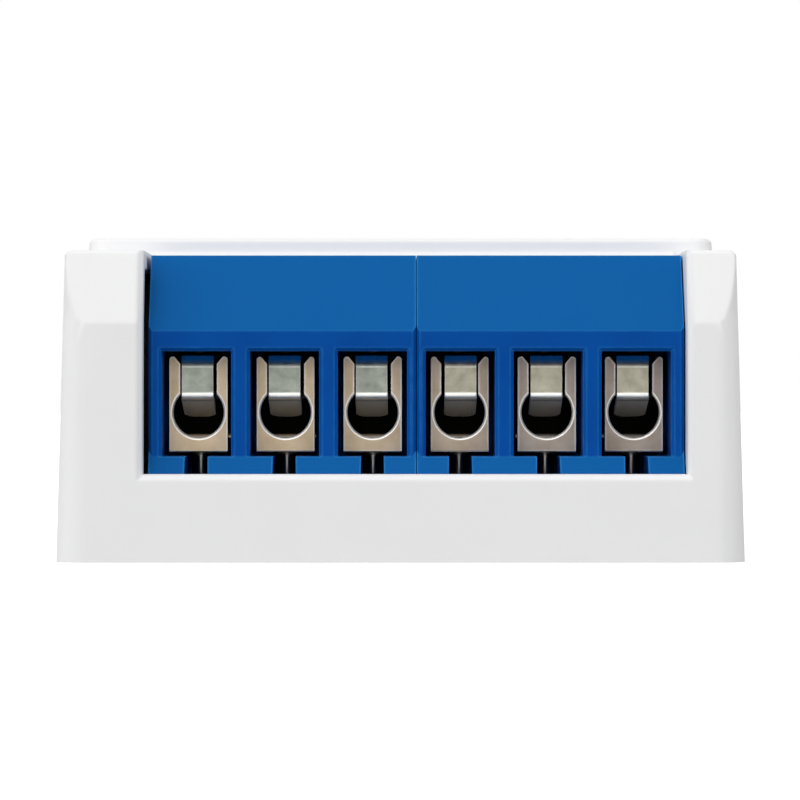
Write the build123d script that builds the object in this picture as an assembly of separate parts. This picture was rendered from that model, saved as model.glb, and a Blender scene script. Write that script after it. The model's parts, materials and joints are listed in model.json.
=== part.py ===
from build123d import *
import os
from math import atan2, cos, degrees

os.makedirs("parts", exist_ok=True)

# Smart relay module for a wall box: a white two-part casing, two blue terminal blocks
# of three poles each, and a relay board with its button and status light inside.
# Frame: origin at the middle of the underside, +Z up, the terminals face -Y, millimetres.

# Cover
case_end_margin = 4.5          # from the terminal row's length to each end, at the bottom edge
rear_margin = 1.94             # play left along Y by all that stands behind the front wall
side_lean = 0.5                # moulding draft: each side leans in this far up to the shoulder
case_corner_radius = 1.7
inner_corner_cut = 0.6
wall = 1.5
roof = 1.02
shoulder_chamfer = 0.26
slope_top_chamfer = 0.16
front_slope_height = 4.15      # the front leans back over this much below the shoulder
front_slope_setback = 1.05
panel_rise = 1.08
panel_margin = 0.39            # rim left round the panel's foot
panel_lean = 0.17
panel_corner_radius = 1.3
panel_edge_chamfer = 0.2
panel_skin = 1.5               # what is left of the panel over its cored underside
panel_core_margin = 1.0
panel_ramp = 0.34              # sloped foot of the panel's front, behind the blocks
notch_sill_height = 4.95
notch_bevel = 0.3
notch_wall = 0.5               # a wall inside the cover, along the notch's right end
notch_wall_reach = 5.5         # from the blocks' front plane to that wall's rear end
rim_rebate = 0.5               # step in the wall that takes the base plate
hold_rib_width = 1.2
hold_rib_length = 0.9
hold_rib_spacing = 27.0

# Base plate
base_plate_thickness = 1.2
base_plate_play = 0.15
base_plate_chamfer = 0.35
hook_width = 3.0
hook_thickness = 0.8
hook_spacing = 18.0
hook_rise = 4.6
hook_barb = 0.4
hook_barb_height = 0.9
hook_play = 0.2
board_gap = 1.3                # posts carry the board this far above the plate
post_diameter = 2.4
post_pin_diameter = 1.3
post_pin_sink = 0.3            # the pins end this far below the board's top
post_inset = 1.5
pin_play = 0.1

# Main board
board_edge_play = 0.38         # from the board's edge to the casing's walls
board_thickness = 1.6
board_corner_radius = 0.8
lead_diameter = 0.6
lead_play = 0.12
lead_tail = 0.8                # leads and pins stand this far out under the board
lead_sides = 6
hidden_sides = 16              # facets of the round pieces inside the closed casing
pin_sides = 8

# Terminal blocks
pitch = 5.0
poles_per_block = 3
block_count = 2
row_shift = 0.9                # the row's middle lies this far right of the casing's
block_end_extra = 0.21         # thicker outer end walls
block_gap_left = 0.24
block_gap_right = 0.08
block_gap_front = 0.11
block_gap_rear = 0.2
block_seam = 0.04
block_top_gap = 0.18           # the blocks end this far below the cover's shoulder
block_depth = 9.85
block_rear_wall = 0.9
block_slope_setback = 2.9
sill_flare = 0.5
window_width = 3.95
window_height = 6.0
window_head = 1.13             # wall between a window's top and the slope
window_sill_height = 1.83
window_chamfer = 0.18
sill_slot_top = 1.28
sill_slot_bottom = 1.45
screw_bore_diameter = 3.9
dovetail_depth = 0.35
dovetail_width = 0.4
dovetail_flare = 0.08
dovetail_play = 0.05

# Clamp bodies
clamp_width = 3.35
clamp_height = 5.485
clamp_depth = 5.9
clamp_wall = 0.8
clamp_lift = 0.225             # above the floor of its chamber
clamp_setback = 2.9            # behind the block's front plane
clamp_bend_cut = 0.45
clamp_front_cut = 0.06
clamp_top_round = 0.2
clamp_seam = 0.05              # the strip's end stops this far behind the front plate
keyhole_diameter = 2.9
keyhole_rise = 0.825
keyhole_slot = 2.1
keyhole_flare = 0.35
keyhole_flare_height = 0.42
solder_pin_diameter = 1.1
solder_pin_play = 0.15
screw_setback = 3.45           # screw and solder pin axis behind the clamp's front plane

# Wire guards
guard_width = 1.87
guard_thickness = 0.4
guard_front_play = 0.1
guard_flap_rise = 1.92         # the flap's height over its lower bend
guard_lip_rise = 0.3
guard_lip_set = 0.3
guard_bend_radius = 0.25
guard_lip_radius = 0.3
guard_rest_height = 3.0        # underside of the lower bend over the clamp's foot
guard_droop = 1.0
guard_leaf_length = 3.95
guard_tip_cut = 0.5
guard_floor_play = 0.1
guard_side_plays = [-0.06, -0.06, -0.06, 0.05, -0.02, -0.06]    # each guard's place in its slot

# Clamping screws
thread_diameter = 2.5
thread_play = 0.05
screw_head_diameter = 3.7
screw_head_height = 1.6
screw_head_play = 0.3
screw_tip_play = 0.03
driver_slot_width = 0.6
driver_slot_depth = 0.7
driver_cross_length = 2.2

# Button, switch and status light
button_diameter = 4.6
button_play = 0.12
button_recess = 0.1
button_flange = 0.55
button_flange_height = 0.7
button_stem_diameter = 2.4
button_top_chamfer = 0.2
button_travel = 0.25
button_corner_x = 4.03         # from the casing's inner walls
button_corner_y = 4.03
switch_size = 6.0
switch_height = 3.4
switch_frame_height = 0.5
plunger_diameter = 3.4
plunger_gap = 0.4              # below the button's flange
plunger_seat = 1.2
plunger_play = 0.08
stem_play = 0.03
light_diameter = 2.0
light_play = 0.05
light_collar = 0.6
light_collar_height = 0.8
light_spacing = 6.6            # from the button's axis, along X
light_shift = 1.2              # and along Y
led_length = 1.6
led_width = 0.8
led_height = 0.6
led_gap = 0.2

# Relays
relay_count = 2
relay_length = 17.8            # along Y
relay_height = 12.3
relay_head_gap = 0.2
relay_edge_chamfer = 0.35
relay_gap = 0.3
relay_wall_gap = 0.6
relay_row_gap = 0.7            # behind the terminal blocks
relay_base_height = 1.6
relay_base_step = 0.15
relay_pin_inset = 2.0

# Power supply and filter pieces, standing on the board
input_cap_share = 0.366        # diameters and lengths, as shares of their column's depth
input_cap_head_gap = 1.3
output_cap_share = 0.2326
output_cap_height = 7.5
cap_groove_depth = 0.25
cap_groove_width = 0.6
cap_groove_rise = 1.0
cap_edge_chamfer = 0.3
inductor_share = 0.2558
inductor_height = 6.4
inductor_flange = 0.9
inductor_waist = 0.5
varistor_share = 0.378
varistor_thickness = 3.2
varistor_lift = 0.8
varistor_edge_chamfer = 0.6
fuse_diameter = 2.8
fuse_height = 7.4
fuse_lift = 0.6
fuse_end_band = 1.3
fuse_waist = 0.2
lead_spacing_share = 0.45      # of the piece's diameter
column_width = 11.67           # right of the relays, for these pieces
column_margin = 0.6
row_gap = 0.6

# Flat chips
chip_tail = 0.9                # how far the gull-wing legs reach out
leg_width = 0.4
leg_thickness = 0.2
leg_rise = 0.7
chip_lift = 0.1
converter_share = 0.285
converter_width = 3.9
converter_height = 1.5
converter_legs = 4
converter_leg_share = 0.26     # leg spacing, of the chip's length
rectifier_share = 0.273
rectifier_width = 3.6
rectifier_height = 2.2
rectifier_legs = 2
rectifier_leg_share = 0.53
regulator_length = 4.4
regulator_width = 2.0
regulator_height = 1.4
regulator_legs = 3
regulator_leg_spacing = 1.5
regulator_gap = 0.87           # left of the light pipe's collar
optocoupler_length = 2.6
optocoupler_width = 3.4
optocoupler_height = 1.9
optocoupler_legs = 2
optocoupler_leg_spacing = 1.27
optocoupler_shares = [0.25, 0.75]    # their places between the side wall and the regulator

# Small pieces under the board
passive_length = 1.6
passive_width = 0.8
passive_height = 0.5
passive_spacing_x = 2.4
passive_spacing_y = 1.6
passive_columns = 4
resistor_rows = 2
capacitor_rows = 1
transistor_length = 2.9
transistor_width = 1.3
transistor_height = 0.9
diode_length = 2.8
diode_width = 1.8
diode_height = 0.95
driver_shift = 3.4             # each side of the relays' middle pins

# Upright wireless board
wireless_length = 18.0
wireless_head_gap = 0.5
wireless_thickness = 0.8
wireless_gap = 1.1             # behind the relays
wireless_wall_gap = 0.9
shield_share = 0.555           # of the wireless board's length
shield_foot_gap = 3.6
shield_depth = 1.6
shield_inset = 1.2
shield_round = 0.3
shield_top_gap = 0.8
antenna_track = 0.5
antenna_turns = 4
antenna_foot_gap = 5.6
antenna_step_share = 0.061
antenna_thickness = 0.1
header_pins = 6
header_pin_spacing = 2.0
header_pin_size = 0.6
header_pin_rise = 1.6

overrun = 2.0                  # how far cuts run past the faces that they open

# Heights and halves that follow from the sizes above
board_bottom = base_plate_thickness + board_gap
board_top = board_bottom + board_thickness
tail_end = board_bottom - lead_tail
ceiling = board_top + relay_height + relay_head_gap
shoulder_height = ceiling + roof       # up to the rim round the raised panel
panel_top = shoulder_height + panel_rise
core_ceiling = panel_top - panel_skin

# The case, at its bottom edge, round the terminal row and what stands on the board
poles = poles_per_block * block_count
case_length = poles * pitch + 2 * case_end_margin
standing_depth = sill_flare + block_depth + relay_row_gap + relay_length + wireless_gap + wireless_thickness
case_depth = 2 * wall + block_gap_front + standing_depth + header_pin_size + optocoupler_length + rear_margin


def lean_at(z):
    return side_lean * z / shoulder_height


def inner_x(z):
    return case_length / 2 - lean_at(z) - wall


def inner_y(z):
    return case_depth / 2 - lean_at(z) - wall


# The blocks stand behind the front wall, and the notch in the cover follows them
block_front = -inner_y(notch_sill_height) + block_gap_front + sill_flare
block_rear = block_front + block_depth
block_top = shoulder_height - block_top_gap
block_slope_height = block_top - board_top - window_sill_height - window_height - window_head
row_left = row_shift - poles * pitch / 2
row_right = row_shift + poles * pitch / 2
blocks_left = row_left - block_end_extra
blocks_right = row_right + block_end_extra
notch_left = blocks_left - block_gap_left
notch_right = blocks_right + block_gap_right
notch_back = block_rear + block_gap_rear
chamber_floor = board_top + window_sill_height
chamber_top = chamber_floor + window_height
chamber_rear = block_rear - block_rear_wall
terminal_xs = [row_left + pitch * (i + 1 / 2) for i in range(poles)]

# Clamp, guard and screw heights
clamp_front = block_front + clamp_setback
clamp_rear = clamp_front + clamp_depth
clamp_foot = chamber_floor + clamp_lift
clamp_top = clamp_foot + clamp_height
screw_y = clamp_front + screw_setback
keyhole_z = clamp_foot + keyhole_rise + keyhole_diameter / 2
guard_y = clamp_front + guard_front_play + guard_thickness / 2
guard_bend_z = clamp_foot + guard_rest_height + guard_thickness / 2
leaf_lean = atan2(guard_droop, guard_leaf_length)
guard_travel = guard_rest_height - guard_droop - clamp_wall - guard_floor_play
leaf_reach_share = (screw_y - thread_diameter / 2 - guard_y) / guard_leaf_length
leaf_top_under_screw = guard_bend_z + guard_thickness / 2 / cos(leaf_lean) - guard_droop * leaf_reach_share
screw_tip_z = leaf_top_under_screw + screw_tip_play
screw_head_z = clamp_top + guard_travel + screw_head_play

# Places on the board
relay_front = block_rear + relay_row_gap
relay_middle_y = relay_front + relay_length / 2
relay_rear = relay_front + relay_length
hook_face = inner_x(base_plate_thickness + hook_rise) - hook_play
relay_left = -hook_face + hook_thickness + relay_wall_gap / 2
column_right = hook_face - hook_thickness - column_margin
column_left = column_right - column_width
relay_width = (column_left - column_margin - relay_left + relay_gap) / relay_count - relay_gap
relay_xs = [relay_left + relay_width / 2 + i * (relay_width + relay_gap) for i in range(relay_count)]
board_length = 2 * (inner_x(board_top) - board_edge_play)
board_depth = 2 * (inner_y(board_top) - board_edge_play)
button_x = inner_x(ceiling) - button_corner_x
button_y = inner_y(ceiling) - button_corner_y
light_x = button_x - light_spacing
light_y = button_y + light_shift
column_depth = button_y - switch_size / 2 - relay_front
input_cap_diameter = input_cap_share * column_depth
output_cap_diameter = output_cap_share * column_depth
inductor_diameter = inductor_share * column_depth
varistor_diameter = varistor_share * column_depth
converter_length = converter_share * column_depth
rectifier_length = rectifier_share * column_depth
input_cap_height = ceiling - input_cap_head_gap - board_top
input_cap_x = column_left + input_cap_diameter / 2
input_cap_y = relay_front + input_cap_diameter / 2
varistor_x = column_right - varistor_thickness / 2
varistor_y = relay_front + varistor_diameter / 2
inductor_x = column_left + inductor_diameter / 2
inductor_y = input_cap_y + input_cap_diameter / 2 + row_gap + inductor_diameter / 2
output_cap_x = column_right - output_cap_diameter / 2
output_cap_y = varistor_y + varistor_diameter / 2 + row_gap + output_cap_diameter / 2
chip_row_y = output_cap_y + output_cap_diameter / 2 + row_gap + converter_length / 2
converter_x = column_left + converter_width / 2 + chip_tail
rectifier_x = column_right - rectifier_width / 2 - chip_tail
fuse_x = (column_left + button_x - switch_size / 2) / 2
fuse_y = chip_row_y + converter_length / 2 + row_gap + fuse_diameter / 2
wireless_front = relay_rear + wireless_gap
wireless_rear = wireless_front + wireless_thickness
wireless_height = ceiling - wireless_head_gap - board_top
wireless_left = -inner_x(board_top + wireless_height) + wireless_wall_gap
wireless_right = wireless_left + wireless_length
shield_z = board_top + shield_foot_gap
shield_top = board_top + wireless_height - shield_top_gap
shield_right = wireless_left + shield_inset + shield_share * wireless_length
header_y = wireless_rear + header_pin_size / 2
regulator_x = light_x - light_diameter / 2 - light_collar - regulator_gap - regulator_length / 2
regulator_y = (wireless_rear + board_depth / 2) / 2
optocoupler_room = regulator_x - regulator_length / 2 - wireless_left
optocoupler_xs = [wireless_left + share * optocoupler_room for share in optocoupler_shares]
optocoupler_y = (wireless_rear + header_pin_size + board_depth / 2) / 2
plunger_top = core_ceiling - button_flange_height - plunger_gap


def slab(x, y, z):
    # a block between the low and high ends of each pair
    middle = Pos((x[0] + x[1]) / 2, (y[0] + y[1]) / 2, (z[0] + z[1]) / 2)
    return middle * Box(x[1] - x[0], y[1] - y[0], z[1] - z[0])


def rod(x, y, z, radius):
    # an upright cylinder between the two heights in z
    return Pos(x, y, z[0]) * Cylinder(radius, z[1] - z[0], align=(Align.CENTER, Align.CENTER, Align.MIN))


def facet_rod(x, y, z, radius, sides):
    # an upright prism of many sides, for the round pieces that are out of sight
    return Pos(x, y, z[0]) * extrude(RegularPolygon(radius, sides), amount=z[1] - z[0])


def drafted(y, outline, lean, z):
    # a block, outlined at its foot, whose sides lean in towards its top
    taper = degrees(atan2(lean, z[1] - z[0]))
    return extrude(Pos(0, y, z[0]) * outline, amount=z[1] - z[0], taper=taper)


def prism_x(points, x):
    # an outline in the YZ plane, run along X between the two ends in x
    face = make_face(Polyline([(0, y, z) for y, z in points], close=True))
    return Pos(x[0], 0, 0) * extrude(face, amount=x[1] - x[0], dir=(1, 0, 0))


def save(shape, name):
    export_step(shape, "parts/" + name + ".step")


def front_wedge(set_in):
    # what the front slope takes away, moved in by the wall for the cavity
    foot_z = shoulder_height - front_slope_height
    foot_y = -case_depth / 2 + lean_at(foot_z) + set_in
    head_y = -case_depth / 2 + side_lean + front_slope_setback + set_in
    lean = (head_y - foot_y) / front_slope_height
    return prism_x(
        [
            (foot_y, foot_z),
            (head_y - lean * slope_top_chamfer, shoulder_height - slope_top_chamfer),
            (head_y + slope_top_chamfer + overrun, shoulder_height + overrun),
            (foot_y - overrun, shoulder_height + overrun),
            (foot_y - overrun, foot_z),
        ],
        (-case_length, case_length),
    )


def shoulder_edges(shell):
    return shell.edges().filter_by(lambda e: abs(e.center().Z - shoulder_height) < shoulder_chamfer / 10)


def make_shell():
    outline = RectangleRounded(case_length, case_depth, case_corner_radius)
    shell = drafted(0, outline, side_lean, (0, shoulder_height))
    return chamfer(shoulder_edges(shell), shoulder_chamfer) - front_wedge(0)


def make_panel():
    half = case_length / 2 - side_lean - panel_margin
    rear = case_depth / 2 - side_lean - panel_margin
    front = notch_back + panel_ramp
    outline = RectangleRounded(2 * half, rear - front, panel_corner_radius)
    panel = drafted((rear + front) / 2, outline, panel_lean, (shoulder_height - roof / 2, panel_top))
    panel = chamfer(panel.faces().sort_by(Axis.Z)[-1].edges(), panel_edge_chamfer)
    # the ramp fills the step between the notch's rear edge and the panel's front
    ramp = prism_x(
        [
            (notch_back, shoulder_height - roof / 2),
            (notch_back, shoulder_height),
            (front + panel_lean, shoulder_height + panel_ramp),
            (front + panel_corner_radius, shoulder_height + panel_ramp),
            (front + panel_corner_radius, shoulder_height - roof / 2),
        ],
        (notch_left, notch_right),
    )
    return panel + ramp


def make_cavity():
    outline = Rectangle(2 * inner_x(0), 2 * inner_y(0))
    outline = chamfer(outline.vertices(), inner_corner_cut + lean_at(ceiling))
    cavity = drafted(0, outline, lean_at(ceiling), (0, ceiling)) - front_wedge(wall)
    core = slab(
        (-inner_x(ceiling) + panel_core_margin, inner_x(ceiling) - panel_core_margin),
        (notch_back + panel_core_margin, inner_y(ceiling) - panel_core_margin),
        (ceiling - roof / 2, core_ceiling),
    )
    rebate_outline = RectangleRounded(
        2 * inner_x(0) + 2 * rim_rebate, 2 * inner_y(0) + 2 * rim_rebate, case_corner_radius - rim_rebate
    )
    rebate = Pos(0, 0, -overrun) * extrude(rebate_outline, amount=overrun + base_plate_thickness)
    end_wall = slab(
        (notch_right, notch_right + notch_wall),
        (-case_depth / 2, block_front + notch_wall_reach),
        (notch_sill_height, ceiling + overrun),
    )
    return cavity + core + rebate - end_wall


def hook_places():
    return [(side, y) for side in (-1, 1) for y in (-hook_spacing / 2, hook_spacing / 2)]


def hook_pocket(side, y):
    top = base_plate_thickness + hook_rise
    reach = hook_face + hook_barb + hook_play
    x = sorted((side * (hook_face - hook_thickness), side * reach))
    return slab(
        x,
        (y - hook_width / 2 - hook_play, y + hook_width / 2 + hook_play),
        (top - hook_barb_height - hook_play, top + hook_play),
    )


def front_face_y(z):
    # the outer front face, upright below and leaning back above
    rise = max(0, z - shoulder_height + front_slope_height) / front_slope_height
    return -case_depth / 2 + lean_at(z) + rise * front_slope_setback


def notch_bevel_cut():
    # widens the notch on the front face, on both its upright and its sloped part
    def section(z):
        y = front_face_y(z)
        reach = notch_bevel + overrun
        corners = [
            (notch_left - reach, y - overrun, z),
            (notch_right + reach, y - overrun, z),
            (notch_right, y + notch_bevel, z),
            (notch_left, y + notch_bevel, z),
        ]
        return make_face(Polyline(corners, close=True))

    low = notch_sill_height - notch_bevel
    foot = shoulder_height - front_slope_height
    funnel = loft([section(z) for z in (low, foot, shoulder_height + overrun)], ruled=True)
    y = front_face_y(notch_sill_height)
    below = prism_x(
        [
            (y - overrun, low - overrun),
            (y + notch_bevel + overrun, notch_sill_height + overrun),
            (y + notch_bevel + overrun, low - 2 * overrun),
            (y - overrun, low - 2 * overrun),
        ],
        (-case_length, case_length),
    )
    return funnel - below


def make_cover():
    cover = make_shell() + make_panel() - make_cavity()
    cover -= slab(
        (notch_left, notch_right),
        (-case_depth / 2 - overrun, notch_back),
        (notch_sill_height, panel_top + overrun),
    )
    cover -= notch_bevel_cut()
    for side, y in hook_places():
        cover -= hook_pocket(side, y)
    for x in (-hold_rib_spacing / 2, hold_rib_spacing / 2):
        cover += slab(
            (x - hold_rib_width / 2, x + hold_rib_width / 2),
            (inner_y(0) - hold_rib_length, inner_y(ceiling) + wall / 2),
            (board_top, ceiling + roof / 2),
        )
    cover -= rod(button_x, button_y, (ceiling, panel_top + overrun), button_diameter / 2 + button_play)
    cover -= rod(light_x, light_y, (ceiling, panel_top + overrun), light_diameter / 2 + light_play)
    return cover


def make_base_plate():
    half_x = inner_x(0) + rim_rebate - base_plate_play
    half_y = inner_y(0) + rim_rebate - base_plate_play
    plate = extrude(
        RectangleRounded(2 * half_x, 2 * half_y, case_corner_radius - rim_rebate - base_plate_play),
        amount=base_plate_thickness,
    )
    plate = chamfer(plate.faces().sort_by(Axis.Z)[0].edges(), base_plate_chamfer)
    for side, y in hook_places():
        plate += hook(side, y)
    for x, y in post_places():
        plate += facet_rod(x, y, (base_plate_thickness / 2, board_bottom), post_diameter / 2, pin_sides)
        plate += facet_rod(
            x, y, (base_plate_thickness / 2, board_top - post_pin_sink), post_pin_diameter / 2, pin_sides
        )
    return plate


def hook(side, y):
    # an upright strip with a sloped barb at its top
    top = base_plate_thickness + hook_rise
    foot = base_plate_thickness / 2
    outline = [
        (side * (hook_face - hook_thickness), foot),
        (side * hook_face, foot),
        (side * hook_face, top - hook_barb_height),
        (side * (hook_face + hook_barb), top - hook_barb_height),
        (side * (hook_face + hook_barb), top - hook_barb_height / 2),
        (side * hook_face, top),
        (side * (hook_face - hook_thickness), top),
    ]
    face = make_face(Polyline([(px, y - hook_width / 2, pz) for px, pz in outline], close=True))
    return extrude(face, amount=hook_width, dir=(0, 1, 0))


def post_places():
    # at the front corners, and in line with the button at the rear, clear of its switch's leads
    x = board_length / 2 - post_inset
    y = board_depth / 2 - post_inset
    return [(-x, -y), (x, -y), (-button_x, y), (button_x, y)]


# Through-hole leads: each piece's places are used by the piece and by the board's holes
def pair_of_leads(x, y, diameter, along_x):
    step = lead_spacing_share * diameter / 2
    return [(x - step, y), (x + step, y)] if along_x else [(x, y - step), (x, y + step)]


def relay_leads(x):
    side = relay_width / 2 - relay_pin_inset
    end = relay_length / 2 - relay_pin_inset
    return [
        (x - side, relay_middle_y - end),
        (x + side, relay_middle_y - end),
        (x, relay_middle_y),
        (x - side, relay_middle_y + end),
        (x + side, relay_middle_y + end),
    ]


def switch_leads():
    side = switch_size / 2 - lead_diameter
    return [(button_x + i * side, button_y + j * side) for i in (-1, 1) for j in (-1, 1)]


def header_leads():
    first = (wireless_left + wireless_right) / 2 - header_pin_spacing * (header_pins - 1) / 2
    return [(first + i * header_pin_spacing, header_y) for i in range(header_pins)]


def all_leads():
    places = []
    for x in relay_xs:
        places += relay_leads(x)
    places += pair_of_leads(input_cap_x, input_cap_y, input_cap_diameter, True)
    places += pair_of_leads(output_cap_x, output_cap_y, output_cap_diameter, True)
    places += pair_of_leads(inductor_x, inductor_y, inductor_diameter, True)
    places += pair_of_leads(varistor_x, varistor_y, varistor_diameter, False)
    places += pair_of_leads(fuse_x, fuse_y, fuse_diameter, False)
    places += switch_leads()
    places += header_leads()
    return places


def add_leads(body, places, top):
    for x, y in places:
        body += facet_rod(x, y, (tail_end, top), lead_diameter / 2, lead_sides)
    return body


def make_main_board():
    board = Pos(0, 0, board_bottom) * extrude(
        RectangleRounded(board_length, board_depth, board_corner_radius), amount=board_thickness
    )
    through = (board_bottom - overrun, board_top + overrun)
    for side, y in hook_places():
        x = sorted((side * (hook_face - hook_thickness - hook_play), side * (board_length / 2 + overrun)))
        board -= slab(x, (y - hook_width / 2 - hook_play, y + hook_width / 2 + hook_play), through)
    for x, y in post_places():
        board -= facet_rod(x, y, through, post_pin_diameter / 2 + pin_play, pin_sides)
    for x in terminal_xs:
        board -= facet_rod(x, screw_y, through, solder_pin_diameter / 2 + solder_pin_play, pin_sides)
    for x, y in all_leads():
        board -= facet_rod(x, y, through, lead_diameter / 2 + lead_play, lead_sides)
    return board


def block_ends(index):
    # the X ends of one block; the seam's play is shared by its two sides
    left = row_left + index * poles_per_block * pitch
    right = left + poles_per_block * pitch
    left += -block_end_extra if index == 0 else block_seam / 2
    right += block_end_extra if index == block_count - 1 else -block_seam / 2
    return (left, right)


def dovetail(x, grow):
    # the small rib that locks two blocks together, in their rear wall
    middle = (chamber_rear + block_rear) / 2
    foot = dovetail_width / 2 + grow
    head = dovetail_width / 2 + dovetail_flare + grow
    outline = Polyline(
        [
            (x - block_seam, middle - foot),
            (x + dovetail_depth + grow, middle - head),
            (x + dovetail_depth + grow, middle + head),
            (x - block_seam, middle + foot),
        ],
        close=True,
    )
    return Pos(0, 0, board_top) * extrude(make_face(outline), amount=block_top - board_top, dir=(0, 0, 1))


def window_rim_edges(block):
    def on_rim(edge):
        middle = edge.center()
        on_front = abs(middle.Y - block_front) < window_chamfer / 10
        inside = chamber_floor + window_chamfer < middle.Z < chamber_top + window_chamfer
        return on_front and inside

    return block.edges().filter_by(on_rim)


def make_terminal_block(index):
    left, right = block_ends(index)
    block = prism_x(
        [
            (block_rear, board_top),
            (block_rear, block_top),
            (block_front + block_slope_setback, block_top),
            (block_front, block_top - block_slope_height),
            (block_front, chamber_floor),
            (block_front - sill_flare, notch_sill_height),
            (block_front - sill_flare, board_top),
        ],
        (left, right),
    )
    first = index * poles_per_block
    own_xs = terminal_xs[first:first + poles_per_block]
    for x in own_xs:
        block -= slab(
            (x - window_width / 2, x + window_width / 2),
            (block_front - sill_flare - overrun, chamber_rear),
            (chamber_floor, chamber_top),
        )
    block = chamfer(window_rim_edges(block), window_chamfer)
    for x in own_xs:
        block -= rod(x, screw_y, (chamber_top - window_chamfer, block_top + overrun), screw_bore_diameter / 2)
        block -= sill_slot(x)
    seam = row_left + poles_per_block * pitch
    if index == 0:
        block += dovetail(seam, 0)
    else:
        block -= dovetail(seam, dovetail_play)
    return block


def sill_slot(x):
    # open to the front and down, it lets the clamp and its pin in; it ends behind the pin
    top = sill_slot_top / 2
    foot = sill_slot_bottom / 2
    front = block_front - sill_flare - overrun
    outline = Polyline(
        [
            (x - foot, front, board_top - overrun),
            (x + foot, front, board_top - overrun),
            (x + top, front, chamber_floor + clamp_lift),
            (x - top, front, chamber_floor + clamp_lift),
        ],
        close=True,
    )
    return extrude(make_face(outline), amount=screw_y + top - front, dir=(0, 1, 0))


def make_clamp(x):
    # a brass strip bent into a cage: front plate with its keyhole, floor, back and top
    half = clamp_width / 2
    cage = slab((x - half, x + half), (clamp_front, clamp_rear), (clamp_foot, clamp_top))
    cage = chamfer(cage.edges().filter_by(Axis.X).group_by(Axis.Y)[-1], clamp_bend_cut)
    front_bend = cage.edges().filter_by(Axis.X).group_by(Axis.Y)[0].sort_by(Axis.Z)[0]
    cage = chamfer(front_bend, clamp_front_cut)
    cage -= slab(
        (x - clamp_width, x + clamp_width),
        (clamp_front + clamp_wall, clamp_rear - clamp_wall),
        (clamp_foot + clamp_wall, clamp_top - clamp_wall),
    )
    cage -= slab(
        (x - clamp_width, x + clamp_width),
        (clamp_front + clamp_wall, clamp_front + clamp_wall + clamp_seam),
        (clamp_top - clamp_wall - clamp_seam, clamp_top + overrun),
    )
    plate_tops = cage.edges().filter_by(Axis.Y).filter_by(
        lambda e: e.center().Z > clamp_top - clamp_wall / 2 and e.center().Y < clamp_front + clamp_wall
    )
    cage = fillet(plate_tops, clamp_top_round)
    cage -= keyhole(x)
    hole = (clamp_top - 2 * clamp_wall, clamp_top + overrun)
    cage -= facet_rod(x, screw_y, hole, thread_diameter / 2 + thread_play, hidden_sides)
    pin = (tail_end, clamp_foot + clamp_wall / 2)
    return cage + facet_rod(x, screw_y, pin, solder_pin_diameter / 2, hidden_sides)


def keyhole(x):
    # round wire hole, open upwards through a slot with flared top corners
    hole = Pos(x, clamp_front - overrun, keyhole_z) * Rot(-90, 0, 0) * Cylinder(
        keyhole_diameter / 2, overrun + clamp_wall, align=(Align.CENTER, Align.CENTER, Align.MIN)
    )
    half = keyhole_slot / 2
    corners = [
        (half, keyhole_z),
        (half, clamp_top - keyhole_flare_height),
        (half + keyhole_flare, clamp_top),
        (half + keyhole_flare, clamp_top + overrun),
    ]
    left = [(x - px, clamp_front - overrun, z) for px, z in corners]
    right = [(x + px, clamp_front - overrun, z) for px, z in reversed(corners)]
    outline = Polyline(left + right, close=True)
    return hole + extrude(make_face(outline), amount=overrun + clamp_wall, dir=(0, 1, 0))


def make_guard(x):
    # a bent strip: back-curved lip, flap in the keyhole's slot, and a leaf under the screw
    lip_y = guard_y + guard_lip_set
    flap_z = guard_bend_z + guard_flap_rise
    path = FilletPolyline(
        [
            (0, lip_y, flap_z + guard_lip_rise),
            (0, guard_y, flap_z),
            (0, guard_y, guard_bend_z),
            (0, guard_y + guard_leaf_length, guard_bend_z - guard_droop),
        ],
        radius=[guard_lip_radius, guard_bend_radius],
    )
    section = Plane(origin=path @ 0, x_dir=(1, 0, 0), z_dir=path % 0)
    guard = Pos(x, 0, 0) * sweep(section * Rectangle(guard_width, guard_thickness), path=path)
    # the leaf's tip is narrowed in plan
    tip_y = guard_y + guard_leaf_length
    plan = slab(
        (x - guard_width / 2, x + guard_width / 2),
        (clamp_front - overrun, tip_y),
        (clamp_foot, clamp_top + overrun),
    )
    tip_edges = plan.edges().filter_by(Axis.Z).group_by(Axis.Y)[-1]
    return guard & chamfer(tip_edges, guard_tip_cut)


def make_screw(x):
    top = screw_head_z + screw_head_height
    screw = facet_rod(x, screw_y, (screw_tip_z, top - driver_slot_depth), thread_diameter / 2, hidden_sides)
    screw += rod(x, screw_y, (screw_head_z, top), screw_head_diameter / 2)
    half = driver_slot_width / 2
    screw -= slab(
        (x - screw_head_diameter, x + screw_head_diameter),
        (screw_y - half, screw_y + half),
        (top - driver_slot_depth, top + overrun),
    )
    screw -= slab(
        (x - half, x + half),
        (screw_y - driver_cross_length / 2, screw_y + driver_cross_length / 2),
        (top - driver_slot_depth, top + overrun),
    )
    return screw


def make_relay(x):
    low_y, high_y = relay_front, relay_rear
    half = relay_width / 2
    foot_top = board_top + relay_base_height
    case = slab((x - half, x + half), (low_y, high_y), (foot_top, board_top + relay_height))
    case = chamfer(case.edges().filter_by(lambda e: e.center().Z > foot_top), relay_edge_chamfer)
    inner = half - relay_base_step
    foot = slab(
        (x - inner, x + inner),
        (low_y + relay_base_step, high_y - relay_base_step),
        (board_top, foot_top),
    )
    return add_leads(case + foot, relay_leads(x), board_top + relay_base_height / 2)


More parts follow.
